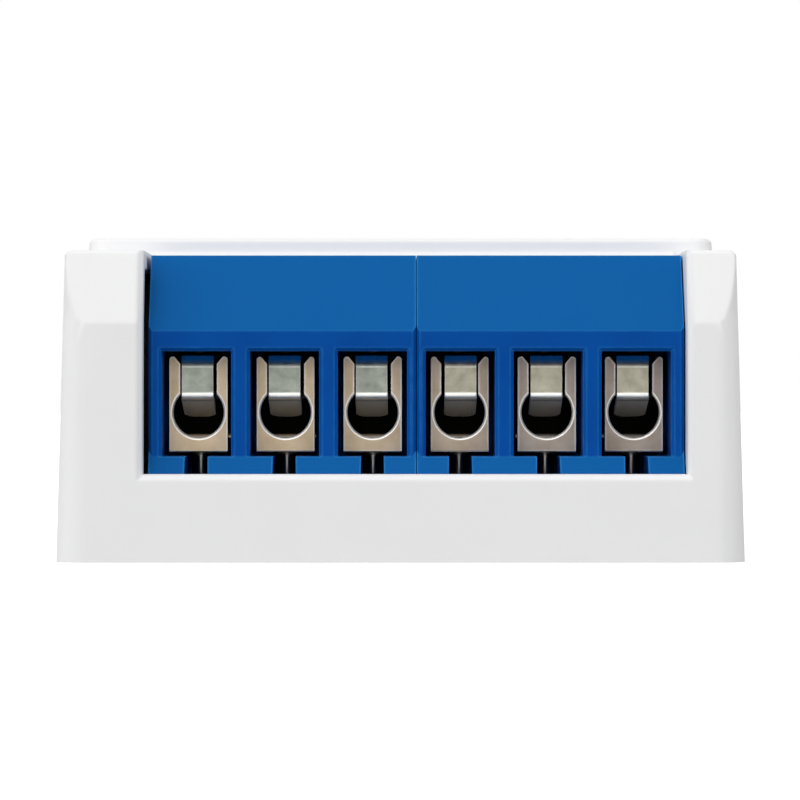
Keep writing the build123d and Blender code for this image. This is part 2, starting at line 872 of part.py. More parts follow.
def make_capacitor(x, y, diameter, height):
    can = facet_rod(x, y, (board_top, board_top + height), diameter / 2, hidden_sides)
    can = chamfer(can.faces().sort_by(Axis.Z)[-1].edges(), cap_edge_chamfer)
    groove_z = board_top + cap_groove_rise
    groove = (groove_z, groove_z + cap_groove_width)
    ring = facet_rod(x, y, groove, diameter, hidden_sides)
    ring -= facet_rod(x, y, groove, diameter / 2 - cap_groove_depth, hidden_sides)
    return add_leads(can - ring, pair_of_leads(x, y, diameter, True), board_top + cap_groove_rise / 2)


def make_inductor():
    x, y = inductor_x, inductor_y
    radius = inductor_diameter / 2
    top = board_top + inductor_height
    bobbin = facet_rod(x, y, (board_top, board_top + inductor_flange), radius, hidden_sides)
    bobbin += facet_rod(x, y, (board_top, top), radius - inductor_waist, hidden_sides)
    bobbin += facet_rod(x, y, (top - inductor_flange, top), radius, hidden_sides)
    return add_leads(bobbin, pair_of_leads(x, y, inductor_diameter, True), board_top + inductor_flange / 2)


def make_varistor():
    radius = varistor_diameter / 2
    middle_z = board_top + varistor_lift + radius
    disc = facet_rod(0, 0, (-varistor_thickness / 2, varistor_thickness / 2), radius, hidden_sides)
    rims = disc.faces().sort_by(Axis.Z)[0].edges() + disc.faces().sort_by(Axis.Z)[-1].edges()
    disc = Pos(varistor_x, varistor_y, middle_z) * Rot(0, 90, 0) * chamfer(rims, varistor_edge_chamfer)
    return add_leads(disc, pair_of_leads(varistor_x, varistor_y, varistor_diameter, False), middle_z)


def make_fuse_resistor():
    x, y = fuse_x, fuse_y
    foot = board_top + fuse_lift
    body = facet_rod(x, y, (foot, foot + fuse_height), fuse_diameter / 2 - fuse_waist, hidden_sides)
    for z in (foot, foot + fuse_height - fuse_end_band):
        body += facet_rod(x, y, (z, z + fuse_end_band), fuse_diameter / 2, hidden_sides)
    return add_leads(body, pair_of_leads(x, y, fuse_diameter, False), foot + fuse_end_band / 2)


def gull_legs(x, y, width, count, leg_spacing, along_x):
    # legs on both long sides: a foot on the board, and a riser to the body
    legs = []
    for side in (-1, 1):
        for i in range(count):
            shift = (i - (count - 1) / 2) * leg_spacing
            inner = width / 2 - chip_lift
            outer = width / 2 + chip_tail / 2
            foot = sorted((side * outer, side * (width / 2 + chip_tail)))
            arm = sorted((side * inner, side * outer))
            span = (shift - leg_width / 2, shift + leg_width / 2)
            riser = sorted((side * (outer - leg_thickness), side * outer))
            legs.append(slab(foot, span, (0, leg_thickness)))
            legs.append(slab(riser, span, (0, leg_rise)))
            legs.append(slab(arm, span, (leg_rise - leg_thickness, leg_rise)))
    group = legs[0]
    for leg in legs[1:]:
        group += leg
    turn = Rot(0, 0, 90) if along_x else Rot(0, 0, 0)
    return Pos(x, y, board_top) * turn * group


def make_chip(x, y, length, width, height, count, leg_spacing, along_x=False):
    # length lies along Y unless along_x, with the legs on the two long sides
    body = Pos(0, 0, chip_lift) * Box(width, length, height, align=(Align.CENTER, Align.CENTER, Align.MIN))
    turn = Rot(0, 0, 90) if along_x else Rot(0, 0, 0)
    body = Pos(x, y, board_top) * turn * body
    return body + gull_legs(x, y, width, count, leg_spacing, along_x)


def make_button():
    flange_top = core_ceiling - stem_play
    flange = (flange_top - button_flange_height, flange_top)
    cap = rod(button_x, button_y, (flange[0], panel_top - button_recess), button_diameter / 2)
    cap = chamfer(cap.edges().filter_by(GeomType.CIRCLE).sort_by(Axis.Z)[-1], button_top_chamfer)
    cap += facet_rod(button_x, button_y, flange, button_diameter / 2 + button_flange, hidden_sides)
    stem = (plunger_top + stem_play, flange_top)
    return cap + facet_rod(button_x, button_y, stem, button_stem_diameter / 2, hidden_sides)


def make_switch():
    half = switch_size / 2
    body = slab(
        (button_x - half, button_x + half),
        (button_y - half, button_y + half),
        (board_top, board_top + switch_height - switch_frame_height),
    )
    frame_half = half - switch_frame_height / 2
    well_floor = board_top + switch_height - plunger_seat - button_travel - plunger_play
    body += slab(
        (button_x - frame_half, button_x + frame_half),
        (button_y - frame_half, button_y + frame_half),
        (board_top + switch_height / 2, board_top + switch_height),
    )
    body -= rod(
        button_x,
        button_y,
        (well_floor, board_top + switch_height + overrun),
        plunger_diameter / 2 + plunger_play,
    )
    return add_leads(body, switch_leads(), board_top + switch_height / 2)


def make_plunger():
    seat = board_top + switch_height - plunger_seat
    return facet_rod(button_x, button_y, (seat, plunger_top), plunger_diameter / 2, hidden_sides)


def make_light_pipe():
    collar = (core_ceiling - light_collar_height, core_ceiling)
    foot = board_top + led_height + led_gap
    pipe = rod(light_x, light_y, (collar[1], panel_top - light_play), light_diameter / 2)
    pipe += facet_rod(light_x, light_y, (foot, collar[0]), light_diameter / 2, hidden_sides)
    return pipe + facet_rod(light_x, light_y, collar, light_diameter / 2 + light_collar, hidden_sides)


def make_led():
    return slab(
        (light_x - led_length / 2, light_x + led_length / 2),
        (light_y - led_width / 2, light_y + led_width / 2),
        (board_top, board_top + led_height),
    )


def make_wireless_board():
    return slab(
        (wireless_left, wireless_right),
        (wireless_front, wireless_rear),
        (board_top, board_top + wireless_height),
    )


def make_shield():
    can = slab(
        (wireless_left + shield_inset, shield_right),
        (wireless_rear, wireless_rear + shield_depth),
        (shield_z, shield_top),
    )
    return fillet(can.faces().sort_by(Axis.Y)[-1].edges(), shield_round)


def make_antenna():
    # a flat copper track that folds up and down beside the shield
    step = antenna_step_share * wireless_length
    depth = (wireless_rear, wireless_rear + antenna_thickness)
    foot = board_top + antenna_foot_gap
    track = None
    for i in range(antenna_turns + 1):
        x = shield_right + (i + 1) * step
        bar = slab((x, x + antenna_track), depth, (foot, shield_top))
        if i < antenna_turns:
            z = shield_top - antenna_track if i % 2 == 0 else foot
            bar += slab((x, x + step + antenna_track), depth, (z, z + antenna_track))
        track = bar if track is None else track + bar
    return track


def make_header_pins():
    half = header_pin_size / 2
    pins = []
    for x, y in header_leads():
        pin = slab((x - half, x + half), (y - half, y + half), (board_top, board_top + header_pin_rise))
        pins.append(pin + facet_rod(x, y, (tail_end, board_top + half), lead_diameter / 2, lead_sides))
    return Compound(children=pins)


def under_board(x, y, length, width, height):
    return Pos(x, y, board_bottom - height / 2) * Box(length, width, height)


def make_passives(row_count, first_row_y):
    middle_x = (column_left + column_right) / 2
    pieces = []
    for row in range(row_count):
        for column in range(passive_columns):
            x = middle_x + (column - (passive_columns - 1) / 2) * passive_spacing_x
            y = first_row_y + row * passive_spacing_y
            pieces.append(under_board(x, y, passive_length, passive_width, passive_height))
    return Compound(children=pieces)


def make_under_relays(shift, length, width, height):
    # one for each relay, between its pins
    y = relay_middle_y + shift
    return Compound(children=[under_board(x, y, length, width, height) for x in relay_xs])


def make_optocouplers():
    return Compound(
        children=[
            make_chip(
                x,
                optocoupler_y,
                optocoupler_length,
                optocoupler_width,
                optocoupler_height,
                optocoupler_legs,
                optocoupler_leg_spacing,
            )
            for x in optocoupler_xs
        ]
    )


save(make_cover(), "cover")
save(make_base_plate(), "base_plate")
save(make_main_board(), "main_board")
save(make_terminal_block(0), "terminal_block_left")
save(make_terminal_block(1), "terminal_block_right")
for number, terminal_x in enumerate(terminal_xs, start=1):
    save(make_clamp(terminal_x), "terminal_clamp_" + str(number))
    save(make_guard(terminal_x + guard_side_plays[number - 1]), "wire_guard_" + str(number))
    save(make_screw(terminal_x), "terminal_screw_" + str(number))
for number, relay_x in enumerate(relay_xs, start=1):
    save(make_relay(relay_x), "relay_" + str(number))
save(make_capacitor(input_cap_x, input_cap_y, input_cap_diameter, input_cap_height), "input_capacitor")
save(make_capacitor(output_cap_x, output_cap_y, output_cap_diameter, output_cap_height), "output_capacitor")
save(make_inductor(), "filter_inductor")
save(make_varistor(), "varistor")
save(make_fuse_resistor(), "fuse_resistor")
save(
    make_chip(
        converter_x,
        chip_row_y,
        converter_length,
        converter_width,
        converter_height,
        converter_legs,
        converter_leg_share * converter_length,
    ),
    "converter_chip",
)
save(
    make_chip(
        rectifier_x,
        chip_row_y,
        rectifier_length,
        rectifier_width,
        rectifier_height,
        rectifier_legs,
        rectifier_leg_share * rectifier_length,
    ),
    "bridge_rectifier",
)
save(
    make_chip(
        regulator_x,
        regulator_y,
        regulator_length,
        regulator_width,
        regulator_height,
        regulator_legs,
        regulator_leg_spacing,
        along_x=True,
    ),
    "voltage_regulator",
)
save(make_optocouplers(), "optocouplers")
save(make_wireless_board(), "wireless_board")
save(make_shield(), "wireless_shield")
save(make_antenna(), "antenna_track")
save(make_header_pins(), "header_pins")
save(make_button(), "pairing_button")
save(make_switch(), "switch_body")
save(make_plunger(), "switch_plunger")
save(make_light_pipe(), "light_pipe")
save(make_led(), "status_led")
save(make_passives(resistor_rows, chip_row_y - passive_spacing_y), "chip_resistors")
save(make_passives(capacitor_rows, chip_row_y + passive_spacing_y), "chip_capacitors")
transistors = make_under_relays(-driver_shift, transistor_length, transistor_width, transistor_height)
save(transistors, "driver_transistors")
save(make_under_relays(driver_shift, diode_length, diode_width, diode_height), "flyback_diodes")
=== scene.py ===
import json
import math

import bmesh
import bpy
from mathutils import Matrix, Vector


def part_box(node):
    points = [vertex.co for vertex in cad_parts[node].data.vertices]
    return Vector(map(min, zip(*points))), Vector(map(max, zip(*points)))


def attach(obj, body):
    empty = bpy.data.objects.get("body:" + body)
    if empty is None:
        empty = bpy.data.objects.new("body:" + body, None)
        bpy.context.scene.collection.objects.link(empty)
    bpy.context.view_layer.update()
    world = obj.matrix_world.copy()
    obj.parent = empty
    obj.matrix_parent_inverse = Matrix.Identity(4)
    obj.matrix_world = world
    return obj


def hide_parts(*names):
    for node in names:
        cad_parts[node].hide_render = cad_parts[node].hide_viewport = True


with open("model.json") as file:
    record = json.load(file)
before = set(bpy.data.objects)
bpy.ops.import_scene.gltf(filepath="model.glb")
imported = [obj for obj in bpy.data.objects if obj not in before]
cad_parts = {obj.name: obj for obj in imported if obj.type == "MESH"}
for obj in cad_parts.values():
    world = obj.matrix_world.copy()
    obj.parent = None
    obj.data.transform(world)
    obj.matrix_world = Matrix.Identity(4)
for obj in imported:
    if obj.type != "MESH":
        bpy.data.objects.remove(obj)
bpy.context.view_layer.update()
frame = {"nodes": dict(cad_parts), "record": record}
nodes = frame["nodes"]
scene = bpy.context.scene
mm = 0.001
touch = 0.02 * mm   # two places closer than this are taken as one
print("frame loaded:", len(nodes), "nodes")

# camera, level with the middle of the case and straight in front of the terminals
camera = {"place": (-0.00003, -0.26725, 0.00914), "lens": 198.2, "sensor": 36, "nearest": 0.01, "farthest": 20}
cameraData = bpy.data.cameras.new("frontCamera")
cameraData.lens = camera["lens"]
cameraData.sensor_width = camera["sensor"]
cameraData.clip_start = camera["nearest"]
cameraData.clip_end = camera["farthest"]
cameraObject = bpy.data.objects.new("frontCamera", cameraData)
cameraObject.location = camera["place"]
cameraObject.rotation_euler = (math.radians(90), 0, 0)
scene.collection.objects.link(cameraObject)
scene.camera = cameraObject
scene.view_settings.view_transform = "Standard"
scene.view_settings.look = "None"


# small helpers for node trees

def addNode(tree, kind, **values):
    node = tree.nodes.new(kind)
    for key, value in values.items():
        setattr(node, key, value)
    return node


def link(tree, source, target):
    tree.links.new(source, target)


def newGroup(name, inputs, outputs):
    # inputs and outputs are pairs of a socket's name and its kind or default
    group = bpy.data.node_groups.new(name, "ShaderNodeTree")
    for label, default in inputs:
        kind = "NodeSocketVector" if default is None else "NodeSocketFloat"
        socket = group.interface.new_socket(name=label, in_out="INPUT", socket_type=kind)
        if default is not None:
            socket.default_value = default
    for label in outputs:
        group.interface.new_socket(name=label, in_out="OUTPUT", socket_type="NodeSocketFloat")
    start = addNode(group, "NodeGroupInput")
    end = addNode(group, "NodeGroupOutput")
    return group, start, end


def maths(tree, operation, first, second, clamp=False):
    node = addNode(tree, "ShaderNodeMath", operation=operation, use_clamp=clamp)
    for socket, value in zip(node.inputs, (first, second)):
        if isinstance(value, (int, float)):
            socket.default_value = value
        else:
            link(tree, value, socket)
    return node.outputs[0]


def spread(tree, value, low, high, newLow=0.0, newHigh=1.0):
    # stretches the span from low to high over a new one
    node = addNode(tree, "ShaderNodeMapRange", clamp=True)
    link(tree, value, node.inputs["Value"])
    for label, number in (("From Min", low), ("From Max", high), ("To Min", newLow), ("To Max", newHigh)):
        if isinstance(number, (int, float)):
            node.inputs[label].default_value = number
        else:
            link(tree, number, node.inputs[label])
    return node.outputs[0]


mould = {"detail": 3, "roughness": 0.6, "pitSize": 0.55, "pitDepth": 0.5, "slowDetail": 4, "slowSize": 0.03,
         "shadeSpan": (0.3, 0.7)}   # sizes are shares of the grain's


def makeMouldGrain():
    # the fine spark-eroded grain of a mould, and slow shade changes of the moulding
    group, start, end = newGroup("mouldGrain", [("Place", None), ("Grain Size", 9000.0)], ["Height", "Shade"])
    fine = addNode(group, "ShaderNodeTexNoise")
    fine.inputs["Detail"].default_value = mould["detail"]
    fine.inputs["Roughness"].default_value = mould["roughness"]
    link(group, start.outputs["Place"], fine.inputs["Vector"])
    link(group, start.outputs["Grain Size"], fine.inputs["Scale"])
    pits = addNode(group, "ShaderNodeTexVoronoi", feature="SMOOTH_F1")
    link(group, start.outputs["Place"], pits.inputs["Vector"])
    link(group, maths(group, "MULTIPLY", start.outputs["Grain Size"], mould["pitSize"]), pits.inputs["Scale"])
    pitHeight = maths(group, "MULTIPLY", pits.outputs["Distance"], mould["pitDepth"])
    link(group, maths(group, "ADD", fine.outputs[0], pitHeight), end.inputs["Height"])
    slow = addNode(group, "ShaderNodeTexNoise")
    slow.inputs["Detail"].default_value = mould["slowDetail"]
    link(group, start.outputs["Place"], slow.inputs["Vector"])
    link(group, maths(group, "MULTIPLY", start.outputs["Grain Size"], mould["slowSize"]), slow.inputs["Scale"])
    link(group, spread(group, slow.outputs[0], *mould["shadeSpan"]), end.inputs["Shade"])
    return group


edgeMarking = {"samples": 4, "scale": 1500, "detail": 4, "patchSpan": (0.3, 0.62), "least": 0.35}


def makeEdgeWear():
    # a mask along edges, broken up by noise: partly worn edges, partly painted highlight
    group, start, end = newGroup("edgeWearAndHighlight", [("Place", None), ("Width", 0.00015), ("Gain", 6.0)], ["Mask"])
    rounded = addNode(group, "ShaderNodeBevel", samples=edgeMarking["samples"])
    link(group, start.outputs["Width"], rounded.inputs["Radius"])
    flat = addNode(group, "ShaderNodeNewGeometry")
    angle = addNode(group, "ShaderNodeVectorMath", operation="DOT_PRODUCT")
    link(group, rounded.outputs[0], angle.inputs[0])
    link(group, flat.outputs["Normal"], angle.inputs[1])
    turned = maths(group, "SUBTRACT", 1.0, angle.outputs["Value"])
    broken = addNode(group, "ShaderNodeTexNoise")
    broken.inputs["Scale"].default_value = edgeMarking["scale"]
    broken.inputs["Detail"].default_value = edgeMarking["detail"]
    link(group, start.outputs["Place"], broken.inputs["Vector"])
    patchy = spread(group, broken.outputs[0], *edgeMarking["patchSpan"], edgeMarking["least"], 1.0)
    mask = maths(group, "MULTIPLY", maths(group, "MULTIPLY", turned, start.outputs["Gain"]), patchy, clamp=True)
    link(group, mask, end.inputs["Mask"])
    return group


settling = {"scale": 2600, "detail": 6, "patchSpan": (0.5, 0.72), "dustSpan": (0.2, 1.0), "sheenSpan": (0.03, 0.24),
            "roughening": 0.3}   # the spans of dust and of the painted upward sheen are of how far a face looks up


def makeFineDust():
    # a little dust on faces that look up, and how far they look up, which also drives a painted sheen
    group, start, end = newGroup("fineDust", [("Place", None), ("Amount", 0.3)], ["Mask", "Upward"])
    facing = addNode(group, "ShaderNodeNewGeometry")
    split = addNode(group, "ShaderNodeSeparateXYZ")
    link(group, facing.outputs["Normal"], split.inputs[0])
    upward = spread(group, split.outputs["Z"], *settling["dustSpan"])
    link(group, spread(group, split.outputs["Z"], *settling["sheenSpan"]), end.inputs["Upward"])
    specks = addNode(group, "ShaderNodeTexNoise")
    specks.inputs["Scale"].default_value = settling["scale"]
    specks.inputs["Detail"].default_value = settling["detail"]
    link(group, start.outputs["Place"], specks.inputs["Vector"])
    patchy = spread(group, specks.outputs[0], *settling["patchSpan"])
    settled = maths(group, "MULTIPLY", upward, patchy)
    link(group, maths(group, "MULTIPLY", settled, start.outputs["Amount"], clamp=True), end.inputs["Mask"])
    return group


brushing = {"stretch": 0.035, "detail": 5, "blotchSize": 0.09, "shadeSpan": (0.3, 0.7)}


def makeBrushedLines():
    # long fine scratches along Z, as rolled or brushed strip has
    group, start, end = newGroup("brushedLines", [("Place", None), ("Fineness", 9000.0)], ["Height", "Shade"])
    stretch = addNode(group, "ShaderNodeMapping")
    stretch.inputs["Scale"].default_value = (1.0, 1.0, brushing["stretch"])
    link(group, start.outputs["Place"], stretch.inputs["Vector"])
    lines = addNode(group, "ShaderNodeTexNoise")
    lines.inputs["Detail"].default_value = brushing["detail"]
    link(group, stretch.outputs[0], lines.inputs["Vector"])
    link(group, start.outputs["Fineness"], lines.inputs["Scale"])
    link(group, lines.outputs[0], end.inputs["Height"])
    blotch = addNode(group, "ShaderNodeTexNoise")
    blotch.inputs["Detail"].default_value = brushing["detail"]
    link(group, start.outputs["Place"], blotch.inputs["Vector"])
    link(group, maths(group, "MULTIPLY", start.outputs["Fineness"], brushing["blotchSize"]), blotch.inputs["Scale"])
    link(group, spread(group, blotch.outputs[0], *brushing["shadeSpan"]), end.inputs["Shade"])
    return group


mouldGrain = makeMouldGrain()
edgeWearAndHighlight = makeEdgeWear()
fineDust = makeFineDust()
brushedLines = makeBrushedLines()
print("shader groups made")


# finishes

def newMaterial(name):
    material = bpy.data.materials.new(name)
    material.use_nodes = True
    tree = material.node_tree
    shader = tree.nodes["Principled BSDF"]
    place = addNode(tree, "ShaderNodeTexCoord")
    return material, tree, shader, place.outputs["Object"]


def useGroup(tree, group, place, **values):
    node = addNode(tree, "ShaderNodeGroup")
    node.node_tree = group
    link(tree, place, node.inputs["Place"])
    for label, value in values.items():
        node.inputs[label.replace("_", " ")].default_value = value
    return node


def mixColours(tree, mask, first, second):
    # colours are either three numbers or a socket
    node = addNode(tree, "ShaderNodeMix", data_type="RGBA")
    link(tree, mask, node.inputs["Factor"])
    for socket, value in ((node.inputs[6], first), (node.inputs[7], second)):
        if isinstance(value, tuple):
            socket.default_value = (*value, 1)
        else:
            link(tree, value, socket)
    return node.outputs[2]


softSamples = 6


def softNormal(tree, place, radius, foot):
    # moulded corners flow into each other, except along the cut edge at the foot
    soft = addNode(tree, "ShaderNodeBevel", samples=softSamples)
    soft.inputs["Radius"].default_value = radius
    plain = addNode(tree, "ShaderNodeNewGeometry")
    split = addNode(tree, "ShaderNodeSeparateXYZ")
    link(tree, place, split.inputs[0])
    blend = addNode(tree, "ShaderNodeMix", data_type="VECTOR")
    link(tree, spread(tree, split.outputs["Z"], foot, foot + radius), blend.inputs["Factor"])
    link(tree, plain.outputs["Normal"], blend.inputs[4])
    link(tree, soft.outputs[0], blend.inputs[5])
    return blend.outputs[1]


def bump(tree, shader, height, depth, normal=None):
    node = addNode(tree, "ShaderNodeBump")
    if normal:
        link(tree, normal, node.inputs["Normal"])
    node.inputs["Strength"].default_value = 1.0
    node.inputs["Distance"].default_value = depth
    link(tree, height, node.inputs["Height"])
    link(tree, node.outputs[0], shader.inputs["Normal"])


plasticIndex = 1.49   # how strongly plastics bend light
plasticGloss = 0.5   # unless a plastic has its own


def makePlastic(name, look):
    # moulded plastic: grain, slow shade changes, paler edges that are partly worn and partly painted highlight, a
    # painted upward sheen where a finish has one, and a little dust
    material, tree, shader, place = newMaterial(name)
    grain = useGroup(tree, mouldGrain, place, Grain_Size=look["grainSize"])
    wearAndHighlight = useGroup(tree, edgeWearAndHighlight, place, Width=look["edgeWidth"], Gain=look["edgeGain"])
    dust = useGroup(tree, fineDust, place, Amount=look["dust"])
    colour = mixColours(tree, grain.outputs["Shade"], look["dark"], look["light"])
    if "upwardSheen" in look:   # painted sheen: faces that look up are made paler, as they catch more light
        colour = mixColours(tree, dust.outputs["Upward"], colour, look["upwardSheen"])
    # paler edges: partly worn, partly painted highlight
    colour = mixColours(tree, wearAndHighlight.outputs["Mask"], colour, look["edge"])
    colour = mixColours(tree, dust.outputs["Mask"], colour, look["dustColour"])
    link(tree, colour, shader.inputs["Base Color"])
    rough = spread(tree, grain.outputs["Shade"], 0.0, 1.0, look["rough"][0], look["rough"][1])
    dusty = maths(tree, "MULTIPLY", dust.outputs["Mask"], settling["roughening"])
    link(tree, maths(tree, "ADD", rough, dusty, clamp=True), shader.inputs["Roughness"])
    shader.inputs["IOR"].default_value = plasticIndex
    shader.inputs["Specular IOR Level"].default_value = look.get("gloss", plasticGloss)
    shader.inputs["Transmission Weight"].default_value = look.get("clear", 0.0)
    soft = softNormal(tree, place, look["softness"], look["foot"]) if "softness" in look else None
    bump(tree, shader, grain.outputs["Height"], look["grainDepth"], soft)
    return material


def makeMetal(name, look):
    # rolled, plated strip: lengthways scratches, brighter edges that are partly worn and partly painted highlight, and
    # painted shade, painted light, painted reflection and painted highlights where a finish has them
    material, tree, shader, place = newMaterial(name)
    lines = useGroup(tree, brushedLines, place, Fineness=look["fineness"])
    wearAndHighlight = useGroup(tree, edgeWearAndHighlight, place, Width=look["edgeWidth"], Gain=look["edgeGain"])
    colour = mixColours(tree, lines.outputs["Shade"], look["dark"], look["light"])
    if "farLight" in look:   # the tint drifts along the row of terminals
        across = addNode(tree, "ShaderNodeSeparateXYZ")
        link(tree, place, across.inputs[0])
        drift = spread(tree, across.outputs["X"], look["driftFrom"], look["driftTo"])
        far = mixColours(tree, lines.outputs["Shade"], look["farDark"], look["farLight"])
        colour = mixColours(tree, drift, colour, far)
    # brighter edges: partly worn, partly painted highlight
    colour = mixColours(tree, wearAndHighlight.outputs["Mask"], colour, look["edge"])
    rough = spread(tree, lines.outputs["Shade"], 0.0, 1.0, look["rough"][0], look["rough"][1])
    shader.inputs["Metallic"].default_value = look["metal"]
    bare = look["metal"]
    if "blueReflection" in look:   # painted reflection of the blue block, towards the top end
        height = addNode(tree, "ShaderNodeSeparateXYZ")
        link(tree, place, height.inputs[0])
        top = spread(tree, height.outputs["Z"], look["reflectionFoot"], look["reflectionFoot"] + look["reflectionFade"])
        colour = mixColours(tree, top, colour, look["blueReflection"])
        bare = spread(tree, top, 0.0, 1.0, look["metal"], look["reflectionMetal"])
    if "paintedShading" in look:   # painted shading behind the front, between two heights: painted shade inside the clamps and on the screw threads, painted light on the guard's bend and leaf
        depth = addNode(tree, "ShaderNodeSeparateXYZ")
        link(tree, place, depth.inputs[0])
        behind = spread(tree, depth.outputs["Y"], look["shadingFront"], look["shadingFront"] + look["toneFade"])
        above = spread(tree, depth.outputs["Z"], look["shadingFoot"], look["shadingFoot"] + look["toneFade"])
        below = spread(tree, depth.outputs["Z"], look["shadingHead"], look["shadingHead"] - look["toneFade"])
        paintedZone = maths(tree, "MULTIPLY", maths(tree, "MULTIPLY", behind, above), below)
        colour = mixColours(tree, paintedZone, colour, look["paintedShading"])
        bare = spread(tree, paintedZone, 0.0, 1.0, bare, look["shadingMetal"])
        if "tin" in look:   # plated below a third height
            tinned = spread(tree, depth.outputs["Z"], look["tinHead"], look["tinHead"] - look["toneFade"])
            colour = mixColours(tree, tinned, colour, look["tin"])
            rough = maths(tree, "MULTIPLY", rough, spread(tree, tinned, 0.0, 1.0, 1.0, look["tinRough"]))
            bare = spread(tree, tinned, 0.0, 1.0, bare, 1.0)
        link(tree, bare, shader.inputs["Metallic"])
    if "paintedHighlight" in look:   # painted highlight, bright where the piece's own mask says so
        mask = addNode(tree, "ShaderNodeAttribute", attribute_name="paintedHighlight")
        colour = mixColours(tree, mask.outputs["Fac"], colour, look["paintedHighlight"])
    link(tree, colour, shader.inputs["Base Color"])
    link(tree, rough, shader.inputs["Roughness"])
    bump(tree, shader, lines.outputs["Height"], look["lineDepth"])
    return material


plasticLook = {
    "casing_white": {"dark": (0.81, 0.81, 0.817), "light": (0.828, 0.828, 0.834), "edge": (0.88, 0.88, 0.88),
                     "edgeWidth": 0.0002, "edgeGain": 1.5, "dust": 0.1, "dustColour": (0.7, 0.69, 0.66),
                     "rough": (0.46, 0.52), "grainSize": 9000, "grainDepth": 0.000004, "softness": 0.0003,
                     "foot": 0.0005},
    "terminal_blue": {"dark": (0.0002, 0.062, 0.31), "light": (0.0004, 0.076, 0.35), "edge": (0.025, 0.22, 0.58),
                      # painted sheen on the faces that look up
                      "upwardSheen": (0.002, 0.1, 0.333),
                      "edgeWidth": 0.0002, "edgeGain": 6.0, "dust": 0.03, "dustColour": (0.03, 0.15, 0.4),
                      "rough": (0.5, 0.6), "grainSize": 8000, "grainDepth": 0.000005, "gloss": 0.05},
    "board_green": {"dark": (0.008, 0.09, 0.035), "light": (0.015, 0.15, 0.055), "edge": (0.35, 0.3, 0.14),
                    "edgeWidth": 0.00015, "edgeGain": 3.0, "dust": 0.1, "dustColour": (0.4, 0.4, 0.36),
                    "rough": (0.24, 0.34), "grainSize": 3000, "grainDepth": 0.000006},
    "relay_case": {"dark": (0.013, 0.013, 0.014), "light": (0.022, 0.022, 0.024), "edge": (0.07, 0.07, 0.07),
                   "edgeWidth": 0.0002, "edgeGain": 3.0, "dust": 0.2, "dustColour": (0.3, 0.3, 0.28),
                   "rough": (0.4, 0.5), "grainSize": 6000, "grainDepth": 0.000008},
    "capacitor_sleeve": {"dark": (0.01, 0.011, 0.03), "light": (0.016, 0.018, 0.05), "edge": (0.3, 0.3, 0.3),
                         "edgeWidth": 0.00015, "edgeGain": 2.0, "dust": 0.1, "dustColour": (0.3, 0.3, 0.28),
                         "rough": (0.2, 0.3), "grainSize": 2500, "grainDepth": 0.000004},
    "ferrite": {"dark": (0.02, 0.019, 0.018), "light": (0.05, 0.046, 0.042), "edge": (0.13, 0.12, 0.11),
                "edgeWidth": 0.0002, "edgeGain": 4.0, "dust": 0.1, "dustColour": (0.3, 0.3, 0.28),
                "rough": (0.5, 0.65), "grainSize": 5000, "grainDepth": 0.000012},
    "varistor_coat": {"dark": (0.012, 0.04, 0.16), "light": (0.02, 0.07, 0.25), "edge": (0.05, 0.12, 0.3),
                      "edgeWidth": 0.0003, "edgeGain": 1.5, "dust": 0.1, "dustColour": (0.3, 0.3, 0.3),
                      "rough": (0.25, 0.38), "grainSize": 1800, "grainDepth": 0.00002},
    "fuse_coat": {"dark": (0.11, 0.21, 0.15), "light": (0.16, 0.28, 0.2), "edge": (0.3, 0.36, 0.3),
                  "edgeWidth": 0.0002, "edgeGain": 2.0, "dust": 0.1, "dustColour": (0.4, 0.4, 0.38),
                  "rough": (0.4, 0.55), "grainSize": 2200, "grainDepth": 0.000014},
    "chip_black": {"dark": (0.012, 0.012, 0.013), "light": (0.022, 0.022, 0.023), "edge": (0.06, 0.06, 0.06),
                   "edgeWidth": 0.0001, "edgeGain": 3.0, "dust": 0.15, "dustColour": (0.3, 0.3, 0.28),
                   "rough": (0.5, 0.62), "grainSize": 12000, "grainDepth": 0.000005},
    "chip_tan": {"dark": (0.22, 0.14, 0.075), "light": (0.3, 0.2, 0.11), "edge": (0.5, 0.47, 0.42),
                 "edgeWidth": 0.0002, "edgeGain": 4.0, "dust": 0.05, "dustColour": (0.4, 0.38, 0.34),
                 "rough": (0.42, 0.55), "grainSize": 9000, "grainDepth": 0.000004},
    "button_white": {"dark": (0.74, 0.74, 0.75), "light": (0.79, 0.79, 0.8), "edge": (0.84, 0.84, 0.84),
                     "edgeWidth": 0.00015, "edgeGain": 1.5, "dust": 0.1, "dustColour": (0.65, 0.64, 0.6),
                     "rough": (0.34, 0.42), "grainSize": 11000, "grainDepth": 0.000003},
    "plunger_black": {"dark": (0.012, 0.012, 0.012), "light": (0.02, 0.02, 0.02), "edge": (0.05, 0.05, 0.05),
                      "edgeWidth": 0.0001, "edgeGain": 2.0, "dust": 0.05, "dustColour": (0.3, 0.3, 0.28),
                      "rough": (0.38, 0.48), "grainSize": 9000, "grainDepth": 0.000004},
    "led_white": {"dark": (0.75, 0.68, 0.3), "light": (0.85, 0.8, 0.45), "edge": (0.9, 0.88, 0.7),
                  "edgeWidth": 0.0001, "edgeGain": 2.0, "dust": 0.02, "dustColour": (0.5, 0.5, 0.45),
                  "rough": (0.2, 0.3), "grainSize": 9000, "grainDepth": 0.000003},
    "light_clear": {"dark": (0.86, 0.89, 0.9), "light": (0.92, 0.94, 0.95), "edge": (0.95, 0.96, 0.97),
                    "edgeWidth": 0.0001, "edgeGain": 1.0, "dust": 0.04, "dustColour": (0.7, 0.7, 0.7),
                    "rough": (0.12, 0.2), "grainSize": 9000, "grainDepth": 0.000002, "clear": 0.75},
}
